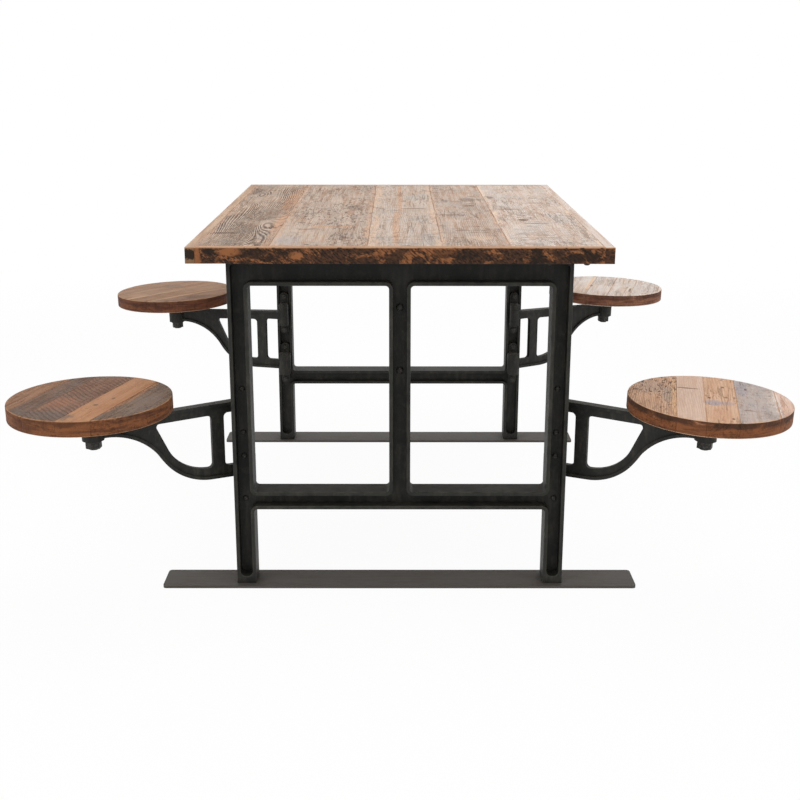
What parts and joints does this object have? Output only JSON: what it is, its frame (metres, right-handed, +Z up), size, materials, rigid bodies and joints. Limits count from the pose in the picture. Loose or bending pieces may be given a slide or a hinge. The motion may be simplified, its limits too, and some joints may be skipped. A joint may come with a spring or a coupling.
{
  "type": "dining table",
  "caption": "Dining table with a plank top on cast end frames and round plank seats that swivel on hinged arms, swinging out to sit or in under the top.",
  "frame": {"origin": "on the floor, under the centre of the tabletop", "axes": "+Z up; Y along the table's length with the front end frame towards -Y; +X to the right seen from the front"},
  "size_m": [1.6665, 1.609, 0.77],
  "materials": {
    "top_wood": "weathered reclaimed boards, waxed",
    "edge_wood": "dark weathered edge strips, worn on the arrises",
    "batten_wood": "plain sawn",
    "seat_wood": "weathered reclaimed boards, waxed",
    "cast_iron": "black, worn on the rims",
    "plate_steel": "hot rolled, oiled",
    "fastener_steel": "dark oxide"
  },
  "bodies": {
    "base": {"batten_screws": "fastener_steel", "bracket_bolts": "fastener_steel", "bracket_nuts": "fastener_steel", "centre_stretcher": "cast_iron", "edge_screws": "fastener_steel", "end_frame_back": "cast_iron", "end_frame_front": "cast_iron", "foot_bolts": "fastener_steel", "foot_plate_back": "plate_steel", "foot_plate_front": "plate_steel", "hinge_pins_back_left": "fastener_steel", "hinge_pins_back_right": "fastener_steel", "hinge_pins_front_left": "fastener_steel", "hinge_pins_front_right": "fastener_steel", "lower_bracket_back_left": "cast_iron", "lower_bracket_back_right": "cast_iron", "lower_bracket_front_left": "cast_iron", "lower_bracket_front_right": "cast_iron", "stretcher_bolts": "fastener_steel", "stretcher_nuts": "fastener_steel", "top_batten_back": "batten_wood", "top_batten_front": "batten_wood", "top_edge_back": "edge_wood", "top_edge_front": "edge_wood", "top_edge_left": "edge_wood", "top_edge_right": "edge_wood", "top_plank_1": "top_wood", "top_plank_2": "top_wood", "top_plank_3": "top_wood", "top_plank_4": "top_wood", "top_plank_5": "top_wood", "top_screws": "fastener_steel", "upper_bracket_back_left": "cast_iron", "upper_bracket_back_right": "cast_iron", "upper_bracket_front_left": "cast_iron", "upper_bracket_front_right": "cast_iron"},
    "arm_front_left": {"swing_arm_front_left": "cast_iron"},
    "seat_front_left": {"seat_planks_front_left": "seat_wood", "seat_screws_front_left": "fastener_steel", "seat_spindle_front_left": "fastener_steel", "spindle_nut_front_left": "fastener_steel"},
    "arm_front_right": {"swing_arm_front_right": "cast_iron"},
    "seat_front_right": {"seat_planks_front_right": "seat_wood", "seat_screws_front_right": "fastener_steel", "seat_spindle_front_right": "fastener_steel", "spindle_nut_front_right": "fastener_steel"},
    "arm_back_left": {"swing_arm_back_left": "cast_iron"},
    "seat_back_left": {"seat_planks_back_left": "seat_wood", "seat_screws_back_left": "fastener_steel", "seat_spindle_back_left": "fastener_steel", "spindle_nut_back_left": "fastener_steel"},
    "arm_back_right": {"swing_arm_back_right": "cast_iron"},
    "seat_back_right": {"seat_planks_back_right": "seat_wood", "seat_screws_back_right": "fastener_steel", "seat_spindle_back_right": "fastener_steel", "spindle_nut_back_right": "fastener_steel"}
  },
  "joints": [
    {"name": "arm_hinge_front_left", "type": "hinge", "parent": "base", "child": "arm_front_left", "pos_m": [-0.3425, -0.472, 0.3265], "axis": [0, 0, -1], "range_deg": [-7.1, 145.35]},
    {"name": "seat_swivel_front_left", "type": "hinge", "parent": "arm_front_left", "child": "seat_front_left", "pos_m": [-0.64925, -0.62095, 0.418], "axis": [-0.011, -0.0053, 0.9999], "continuous": true},
    {"name": "arm_hinge_front_right", "type": "hinge", "parent": "base", "child": "arm_front_right", "pos_m": [0.3425, -0.472, 0.3265], "axis": [0, 0, 1], "range_deg": [-7.1, 145.35]},
    {"name": "seat_swivel_front_right", "type": "hinge", "parent": "arm_front_right", "child": "seat_front_right", "pos_m": [0.64925, -0.62095, 0.418], "axis": [0.033, -0.016, 0.9993], "continuous": true},
    {"name": "arm_hinge_back_left", "type": "hinge", "parent": "base", "child": "arm_back_left", "pos_m": [-0.3425, 0.472, 0.3265], "axis": [0, 0, 1], "range_deg": [-19, 133.45]},
    {"name": "seat_swivel_back_left", "type": "hinge", "parent": "arm_back_left", "child": "seat_back_left", "pos_m": [-0.67337, 0.55449, 0.418], "axis": [-0.0246, 0.0061, 0.9997], "continuous": true},
    {"name": "arm_hinge_back_right", "type": "hinge", "parent": "base", "child": "arm_back_right", "pos_m": [0.3425, 0.472, 0.3265], "axis": [0, 0, -1], "range_deg": [-2.5, 149.95]},
    {"name": "seat_swivel_back_right", "type": "hinge", "parent": "arm_back_right", "child": "seat_back_right", "pos_m": [0.63632, 0.64507, 0.418], "axis": [0.0218, 0.0128, 0.9997], "continuous": true}
  ]
}
